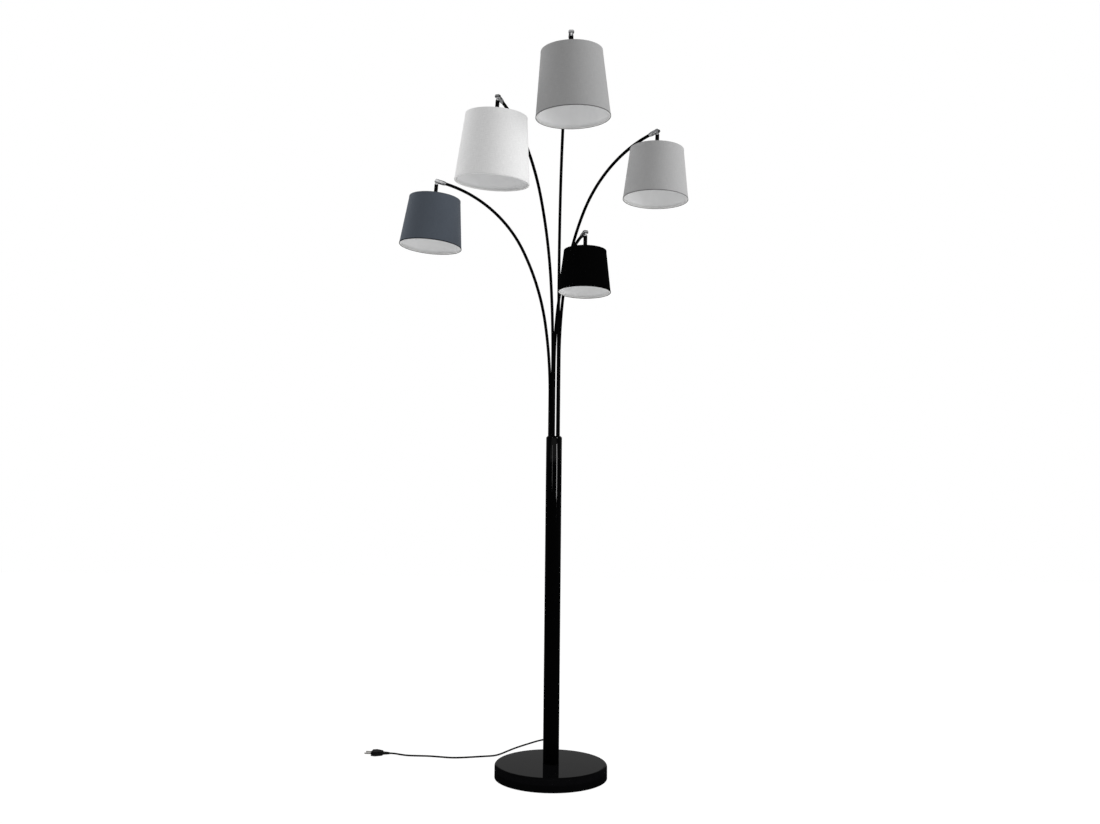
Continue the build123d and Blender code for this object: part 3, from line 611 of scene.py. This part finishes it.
def make_shade(head, looks, materials, number):
    """One tapered shade: the profile turned about the head's axis, with a seam and slight waves.

    The seam lies at the back and lifts the outside by a smooth step over its overlap. The cloth
    wanders by a tenth of a millimetre in slow waves round the shade.
    """
    profile, band = shade_profile(head, looks)
    back = np.array([0.0, 1.0, 0.0])
    across = back - head.down * (back @ head.down)
    across /= np.linalg.norm(across)
    third = np.cross(head.down, across)
    half_seam = looks.seam_width / 2 / head.bottom_radius
    beside = 1.6 * half_seam
    near = np.linspace(-beside, beside, SEAM_SIDES)
    rest = np.linspace(beside, 2 * pi - beside, SHADE_SIDES)[1:-1]
    turn = np.concatenate([near, rest])
    reach = profile[:, :1].repeat(len(turn), 1)
    outer = (band != 1)[:, None]
    angle = (turn + pi) % (2 * pi) - pi
    lap = np.clip((half_seam - angle) / (0.18 * half_seam), 0, 1)
    lap = lap * np.clip((angle + half_seam) / (0.9 * half_seam), 0, 1)
    waves = sum(np.cos(k * turn + number * k) / k for k in (3, 5, 8))
    depth = profile[:, 1:2]
    sway = np.sin(20.0 * depth + number)
    reach = reach + outer * (SEAM_LIFT * lap) + WAVE_RISE * waves * sway
    rim = np.cos(turn)[:, None] * across + np.sin(turn)[:, None] * third
    points = head.pivot + depth[:, :, None] * head.down + reach[:, :, None] * rim
    steps = np.linalg.norm(np.diff(profile, axis=0, append=profile[:1]), axis=1)
    along = np.concatenate([[0], np.cumsum(steps)])
    around = np.append(turn, turn[0] + 2 * pi) * head.bottom_radius
    piece = grid_piece(f"cloth_shade_{head.arm}", points, materials, True,
                       uv=(along, around), rows_of_material=band)
    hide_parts(f"shade_{head.arm}")
    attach(piece, head.body)


# ---------------------------------------------------------------- stage
def aim(obj, target):
    """Turns a light so that it faces a point."""
    way = Vector(target) - obj.location
    obj.rotation_euler = way.to_track_quat("-Z", "Y").to_euler()


def softbox(name, place, target, size, watts):
    """A rectangular area light that the camera doesn't see."""
    data = bpy.data.lights.new(name, "AREA")
    data.shape = "RECTANGLE"
    data.size, data.size_y = size
    data.energy = watts
    obj = bpy.data.objects.new(name, data)
    obj.location = place
    obj.visible_camera = False
    bpy.context.scene.collection.objects.link(obj)
    aim(obj, target)
    return obj


def make_camera():
    """The photograph's camera: its place, pitch and roll, on a 36 mm sensor."""
    data = bpy.data.cameras.new("photo_camera")
    data.sensor_fit = "HORIZONTAL"
    data.sensor_width = SENSOR_WIDTH
    data.lens = SENSOR_WIDTH * FOCAL_PIXELS / IMAGE_WIDTH
    data.clip_end = 100
    forward = Vector((0, cos(CAMERA_PITCH), sin(CAMERA_PITCH)))
    level_up = Vector((0, -sin(CAMERA_PITCH), cos(CAMERA_PITCH)))
    side = Vector((1, 0, 0))
    right = side * cos(CAMERA_ROLL) + level_up * sin(CAMERA_ROLL)
    up = level_up * cos(CAMERA_ROLL) - side * sin(CAMERA_ROLL)
    turn = Matrix((right, up, -forward)).transposed().to_4x4()
    camera = bpy.data.objects.new("photo_camera", data)
    camera.matrix_world = Matrix.Translation(CAMERA_PLACE) @ turn
    bpy.context.scene.collection.objects.link(camera)
    bpy.context.scene.camera = camera


# share of the canopy's strength that is left behind the lamp
CANOPY_BEHIND = 0.15


def make_world(ambient, front, around, overhead):
    """White where it is seen, and a plain grey light for the object.

    Gloss and chrome see a dim room behind the lamp, its dark end in front and a canopy over the
    front: the strength is the larger of a ramp on the Y of the ray's direction and the product
    of one on its Z and one on its Y. Each stop of a ramp pairs that part of the direction,
    halved and raised by a half, with the strength there.
    """
    world = bpy.data.worlds.new("studio")
    world.use_nodes = True
    bpy.context.scene.world = world
    tree = world.node_tree

    def node(kind, **settings):
        made = tree.nodes.new(kind)
        for key, value in settings.items():
            setattr(made, key, value)
        return made

    def ramp(output, *stops):
        made = node("ShaderNodeFloatCurve")
        curve = made.mapping.curves[0]
        curve.points[0].location, curve.points[1].location = stops[0], stops[-1]
        for stop in stops[1:-1]:
            curve.points.new(*stop)
        for point in curve.points:
            point.handle_type = "VECTOR"
        made.mapping.update()
        tree.links.new(output, made.inputs["Value"])
        return made.outputs[0]

    def joined(operation, first, second):
        made = node("ShaderNodeMath", operation=operation)
        tree.links.new(first, made.inputs[0])
        tree.links.new(second, made.inputs[1])
        return made.outputs[0]

    path = node("ShaderNodeLightPath")
    half = node("ShaderNodeVectorMath", operation="MULTIPLY_ADD")
    half.inputs[1].default_value = half.inputs[2].default_value = (0.5, 0.5, 0.5)
    tree.links.new(node("ShaderNodeTexCoord").outputs["Generated"], half.inputs[0])
    axes = node("ShaderNodeSeparateXYZ")
    tree.links.new(half.outputs[0], axes.inputs[0])
    depth = ramp(axes.outputs["Y"], (0, front), (0.3, front), (0.5, around), (1, around))
    height = ramp(axes.outputs["Z"], (0, 0), (0.52, 0), (0.6, overhead), (1, overhead))
    canopy = ramp(axes.outputs["Y"], (0, 1), (0.15, 1), (0.28, CANOPY_BEHIND),
                  (1, CANOPY_BEHIND))
    ceiling = joined("MULTIPLY", height, canopy)
    room = node("ShaderNodeMix")
    room.inputs["A"].default_value = ambient
    tree.links.new(joined("MAXIMUM", depth, ceiling), room.inputs["B"])
    tree.links.new(path.outputs["Is Glossy Ray"], room.inputs["Factor"])
    seen = node("ShaderNodeMix")
    seen.inputs["B"].default_value = 1.0
    tree.links.new(room.outputs["Result"], seen.inputs["A"])
    straight = joined("MAXIMUM", path.outputs["Is Camera Ray"],
                      path.outputs["Is Transmission Ray"])
    tree.links.new(straight, seen.inputs["Factor"])
    tree.links.new(seen.outputs["Result"], tree.nodes["Background"].inputs["Strength"])
    tree.nodes["Background"].inputs["Color"].default_value = (1, 1, 1, 1)


FLOOR_GLOW = 1.1
FLOOR_HALF_WIDTH = 6.0


def make_floor(white, front):
    """A pale floor: lifted to white where it is seen, with the object's shadow kept faint.

    Gloss sees it as dark as the front of the room.
    """
    finish = Finish("studio_floor", (0.8, 0.8, 0.8), 0.9, specular=0.0)
    path = finish.node("ShaderNodeLightPath")
    level = finish.node("ShaderNodeMix")
    level.inputs["A"].default_value = FLOOR_GLOW
    level.inputs["B"].default_value = front
    finish.link(path.outputs["Is Glossy Ray"], level.inputs["Factor"])
    glow = finish.node("ShaderNodeEmission")
    finish.link(level.outputs["Result"], glow.inputs["Strength"])
    mix = finish.node("ShaderNodeMixShader")
    seen = finish.math("MAXIMUM", path.outputs["Is Camera Ray"],
                       path.outputs["Is Transmission Ray"])
    seen = finish.math("MULTIPLY", seen, white)
    finish.link(finish.math("MAXIMUM", seen, path.outputs["Is Glossy Ray"]), mix.inputs["Fac"])
    finish.link(finish.shader.outputs[0], mix.inputs[1])
    finish.link(glow.outputs[0], mix.inputs[2])
    finish.link(mix.outputs[0], finish.tree.nodes["Material Output"].inputs["Surface"])
    half = FLOOR_HALF_WIDTH
    mesh = bpy.data.meshes.new("studio_floor")
    mesh.from_pydata([(-half, -half, 0), (half, -half, 0), (half, half, 0), (-half, half, 0)],
                     [], [(0, 1, 2, 3)])
    mesh.materials.append(finish.material)
    floor = bpy.data.objects.new("studio_floor", mesh)
    bpy.context.scene.collection.objects.link(floor)


class LAMP_OT_stage(bpy.types.Operator):
    """Makes the camera, the white room, the floor and the lights"""

    bl_idname = "lamp.stage"
    bl_label = "Stage"

    def execute(self, context):
        looks = context.scene.stage_looks
        bpy.context.scene.view_settings.view_transform = "Standard"
        make_camera()
        make_world(looks.ambient, looks.front, looks.around, looks.overhead)
        make_floor(looks.floor_white, looks.front)
        for name, place, size, watts in (
            ("right_softbox", (2.5, -0.75, 1.75), (1.0, 2.0), looks.right_power),
            ("left_softbox", (-2.3, 0.9, 1.75), (0.9, 2.0), looks.left_power),
        ):
            softbox(name, place, (0, 0, 1.5), size, watts).visible_glossy = False
        # lights that only the gloss of the column or of the base mirrors
        column = bpy.data.collections.new("column_pieces")
        base = bpy.data.collections.new("base_pieces")
        for name, place, aim_height, size, watts, mirror in (
            ("base_panel", (0, 3, 0.95), 0.95, (3, 1.8), looks.panel_power, base),
            ("right_strip", (1.6, -1.66, 1.62), 1.62, (0.32, 1.76), looks.strip_power, column),
            ("left_strip", (-0.85, -2.14, 1.64), 1.62, (0.2, 1.68), looks.left_strip_power,
             column),
        ):
            light = softbox(name, place, (0, 0, aim_height), size, watts)
            light.visible_diffuse = False
            light.light_linking.receiver_collection = mirror
        bounce = softbox("floor_bounce", (0, -0.2, 0.02), (0, -0.2, 1), (3.2, 3.2),
                         looks.bounce_power)
        bounce.visible_glossy = False
        return {"FINISHED"}


class LAMP_OT_metalwork(bpy.types.Operator):
    """Paints the base, column, arms and necks, and plates the knuckles"""

    bl_idname = "lamp.metalwork"
    bl_label = "Metalwork"

    def execute(self, context):
        looks = context.scene.metal_looks
        column = paint_finish("column_paint", looks.paint, looks.paint_roughness,
                              looks.column_gloss)
        tube = paint_finish("tube_paint", looks.paint, looks.tube_roughness, looks.tube_gloss)
        base = paint_finish("base_paint", looks.base_paint, looks.paint_roughness,
                            looks.base_gloss)
        dress(base, "base_cover")
        bpy.data.collections["base_pieces"].objects.link(frame["nodes"]["base_cover"])
        dress(column, "column_cap")
        for piece in (frame["nodes"]["column_cap"], make_column(column)):
            bpy.data.collections["column_pieces"].objects.link(piece)
        for arm in ARMS:
            make_arm(arm, looks, tube)
        dress(tube, *[f"neck_tube_{arm}" for arm in ARMS])
        chrome = chrome_finish(looks.chrome, looks.chrome_roughness)
        for piece in ("knuckle_fork", "knuckle_screw", "knuckle_eye"):
            dress(chrome, *[f"{piece}_{arm}" for arm in ARMS])
        return {"FINISHED"}


class LAMP_OT_shades(bpy.types.Operator):
    """Makes the fabric shades with their lining, hems and seam, and paints their frames"""

    bl_idname = "lamp.shades"
    bl_label = "Shades"

    def execute(self, context):
        looks = context.scene.shade_looks
        lining = lining_finish(looks.lining)
        wire = plastic_finish("frame_enamel", (0.7, 0.7, 0.69), 0.35)
        for number, arm in enumerate(ARMS):
            tone = getattr(looks, arm)
            cloth = fabric_finish(f"fabric_{arm}", tone, looks.thread)
            # the cloth's tone times itself, a darker copy that paints the shade under the lower
            # hem's roll
            painted_shade_tone = tuple(channel * channel for channel in tone)
            painted_hem_shade = fabric_finish(f"binding_{arm}", painted_shade_tone, looks.thread)
            make_shade(Head(arm), looks, [cloth, lining, painted_hem_shade], number)
            dress(wire, f"shade_frame_{arm}")
        return {"FINISHED"}


class LAMP_OT_holders(bpy.types.Operator):
    """Finishes the lamp holders and the opal bulbs"""

    bl_idname = "lamp.holders"
    bl_label = "Holders and bulbs"

    def execute(self, context):
        dress(plastic_finish("holder_plastic", (0.012, 0.012, 0.012), 0.42),
              *[f"lamp_holder_{arm}" for arm in ARMS])
        dress(glass_finish(), *[f"bulb_{arm}" for arm in ARMS])
        return {"FINISHED"}


class LAMP_OT_inside(bpy.types.Operator):
    """Finishes what is hidden in the base and the column"""

    bl_idname = "lamp.inside"
    bl_label = "Hidden pieces"

    def execute(self, context):
        dress(iron_finish(), "base_weight")
        dress(felt_finish(), "base_pad")
        dress(steel_finish("plated_steel", (0.55, 0.54, 0.5), 0.3),
              "base_stud", "column_foot", "arm_guide")
        dress(plastic_finish("terminal_plastic", (0.72, 0.71, 0.67), 0.5), "terminal_block")
        dress(cord_finish("lead_sheath", context.scene.cord_looks.sheath), "inner_lead")
        return {"FINISHED"}


# ---------------------------------------------------------------- cord
COIL_CENTRE = (-0.014, 0.221)
COIL_TURN_POINTS = 12
COIL_TURNS = 6
# turns from the start, and the coil's radius there in millimetres
COIL_RADII = ((0, 36), (2.5, 22.25), (3, 18.5), (3.5, 18.5), (4, 22.25), (6, 33.25))
# turns from the start, and the cord's height there in millimetres
COIL_LEVELS = ((0, 3.7), (3, 3.7), (3.5, 9.2), (6, 9.2))
LEAD_IN = (
    (0.0193, 0.1863, 0.0070), (0.0202, 0.1948, 0.0070), (0.0213, 0.2038, 0.0045),
    (0.0220, 0.2123, 0.0037),
)
FLOOR_RUN = (
    (0.01925, 0.2210, 0.0092), (0.01925, 0.2390, 0.0092), (0.0204, 0.2620, 0.0062),
    (0.0214, 0.2900, 0.0032), (0.0206, 0.3220, 0.0026), (0.0212, 0.3540, 0.0026),
    (0.0206, 0.3840, 0.0026), (0.0212, 0.4050, 0.0026), (0.0140, 0.4180, 0.0026),
    (-0.0010, 0.4245, 0.0026), (-0.0165, 0.4210, 0.0026), (-0.0370, 0.4040, 0.0026),
    (-0.0600, 0.3750, 0.0026), (-0.0870, 0.3390, 0.0026), (-0.1130, 0.3020, 0.0026),
    (-0.1360, 0.2610, 0.0026), (-0.1530, 0.2300, 0.0026), (-0.1710, 0.2120, 0.0026),
    (-0.1960, 0.2060, 0.0026), (-0.2310, 0.1965, 0.0026), (-0.2660, 0.1875, 0.0026),
    (-0.2950, 0.1850, 0.0026), (-0.3250, 0.1925, 0.0026), (-0.3620, 0.2020, 0.0026),
    (-0.4000, 0.2035, 0.0026), (-0.4300, 0.2060, 0.0026), (-0.4520, 0.2095, 0.0046),
    (-0.4690, 0.2115, 0.0069), (-0.4830, 0.2128, 0.0069),
)


def coil_points():
    """Control points of the spare cord's coil, as an array.

    The radius falls with each turn on the lower layer, the inner half turn climbs to the upper
    layer, and the radius grows again. Each point is pushed out by the small share by which a
    quadratic spline cuts inside the corner of its control polygon.
    """
    turns = np.linspace(0, COIL_TURNS, COIL_TURNS * COIL_TURN_POINTS + 1)
    radius = np.interp(turns, *zip(*COIL_RADII)) * MM
    level = np.interp(turns, *zip(*COIL_LEVELS)) * MM
    step = 2 * pi / COIL_TURN_POINTS
    radius = radius / (0.5 * cos(step / 2) + 0.5 * (0.75 + 0.25 * cos(step)))
    angle = 2 * pi * turns
    return np.stack([COIL_CENTRE[0] + radius * np.cos(angle),
                     COIL_CENTRE[1] + radius * np.sin(angle), level], 1)


def make_cord(looks, sheath):
    """The mains cord: one smooth spline through the lead-in, the coil and the run to the plug."""
    points = np.concatenate([np.array(LEAD_IN), coil_points()[:-1], np.array(FLOOR_RUN)])
    data = bpy.data.curves.new("mains_cord", "CURVE")
    data.dimensions = "3D"
    data.bevel_depth = looks.diameter / 2
    data.bevel_resolution = 5
    data.resolution_u = 6
    data.use_fill_caps = True
    spline = data.splines.new("NURBS")
    spline.points.add(len(points) - 1)
    spline.points.foreach_set("co", np.pad(points, ((0, 0), (0, 1)), constant_values=1).reshape(-1))
    spline.order_u = 3
    spline.use_endpoint_u = True
    data.materials.append(sheath)
    piece = bpy.data.objects.new("mains_cord", data)
    bpy.context.scene.collection.objects.link(piece)
    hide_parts("cord_coil", "cord_run")
    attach(piece, "stand")
    return piece


# how far ahead of the cord's end the pins start, and their own sizes
PIN_ROOT = 0.05402
PIN_LENGTH = 0.0203
PIN_TIP = 0.0012
PIN_RADIUS = 0.00203
PIN_SPACING = 0.0186
PIN_SIDES = 24


def make_pins(metal):
    """The plug's two pins, each an outline with a rounded tip turned about its own axis."""
    end, before = np.array(FLOOR_RUN[-1]), np.array(FLOOR_RUN[-2])
    way = (end - before) / np.linalg.norm(end - before)
    across = np.cross((0, 0, 1), way)
    turn = np.linspace(0, pi / 2, 9)
    tip = np.stack([PIN_RADIUS * np.cos(turn), PIN_LENGTH - PIN_TIP * (1 - np.sin(turn))], 1)
    root = np.array([(0, -0.001), (PIN_RADIUS, -0.001), (PIN_RADIUS, 0.001)])
    outline = np.concatenate([root, tip])
    outline[-1, 0] = 0
    pins = []
    for number, side in enumerate((-1, 1)):
        origin = end + way * PIN_ROOT + across * side * PIN_SPACING / 2
        points = revolved(outline, origin, way, across, PIN_SIDES)
        pin = grid_piece(f"plug_pin_{number + 1}", points[::-1], [metal], False)
        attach(pin, "stand")
        pins.append(pin)
    return pins


class LAMP_OT_cord(bpy.types.Operator):
    """Lays the mains cord from the base's gland to the plug"""

    bl_idname = "lamp.cord"
    bl_label = "Mains cord"

    def execute(self, context):
        looks = context.scene.cord_looks
        sheath = cord_finish("cord_sheath", looks.sheath)
        cord = make_cord(looks, sheath)
        dress(plastic_finish("gland_plastic", (0.015, 0.015, 0.015), 0.45),
              "cord_gland", "cord_tie")
        dress(plastic_finish("plug_plastic", scaled(looks.sheath, 1.1), 0.4), "mains_plug")
        pins = make_pins(steel_finish("pin_nickel", looks.pin, 0.2))
        return {"FINISHED"}


OPERATORS = (
    LAMP_OT_stage, LAMP_OT_cord, LAMP_OT_metalwork, LAMP_OT_shades, LAMP_OT_holders,
    LAMP_OT_inside,
)
SETTINGS = {
    "stage_looks": StageLooks, "metal_looks": MetalLooks, "shade_looks": ShadeLooks,
    "cord_looks": CordLooks,
}


class LAMP_PT_sidebar(bpy.types.Panel):
    """Lists the lamp's settings and steps"""

    bl_idname = "LAMP_PT_sidebar"
    bl_label = "Tree floor lamp"
    bl_space_type = "VIEW_3D"
    bl_region_type = "UI"
    bl_category = "Lamp"

    def draw(self, context):
        for name, group in SETTINGS.items():
            box = self.layout.box()
            for key in group.__annotations__:
                box.prop(getattr(context.scene, name), key)
        for operator in OPERATORS:
            self.layout.operator(operator.bl_idname)


def register():
    for name, group in SETTINGS.items():
        bpy.utils.register_class(group)
        setattr(bpy.types.Scene, name, PointerProperty(type=group))
    for operator in OPERATORS:
        bpy.utils.register_class(operator)
    bpy.utils.register_class(LAMP_PT_sidebar)


def unregister():
    bpy.utils.unregister_class(LAMP_PT_sidebar)
    for operator in reversed(OPERATORS):
        bpy.utils.unregister_class(operator)
    for name, group in SETTINGS.items():
        delattr(bpy.types.Scene, name)
        bpy.utils.unregister_class(group)


def main():
    register()
    for operator in OPERATORS:
        group, _, step = operator.bl_idname.partition(".")
        getattr(getattr(bpy.ops, group), step)()
    bpy.context.view_layer.update()


if __name__ == "__main__":
    main()
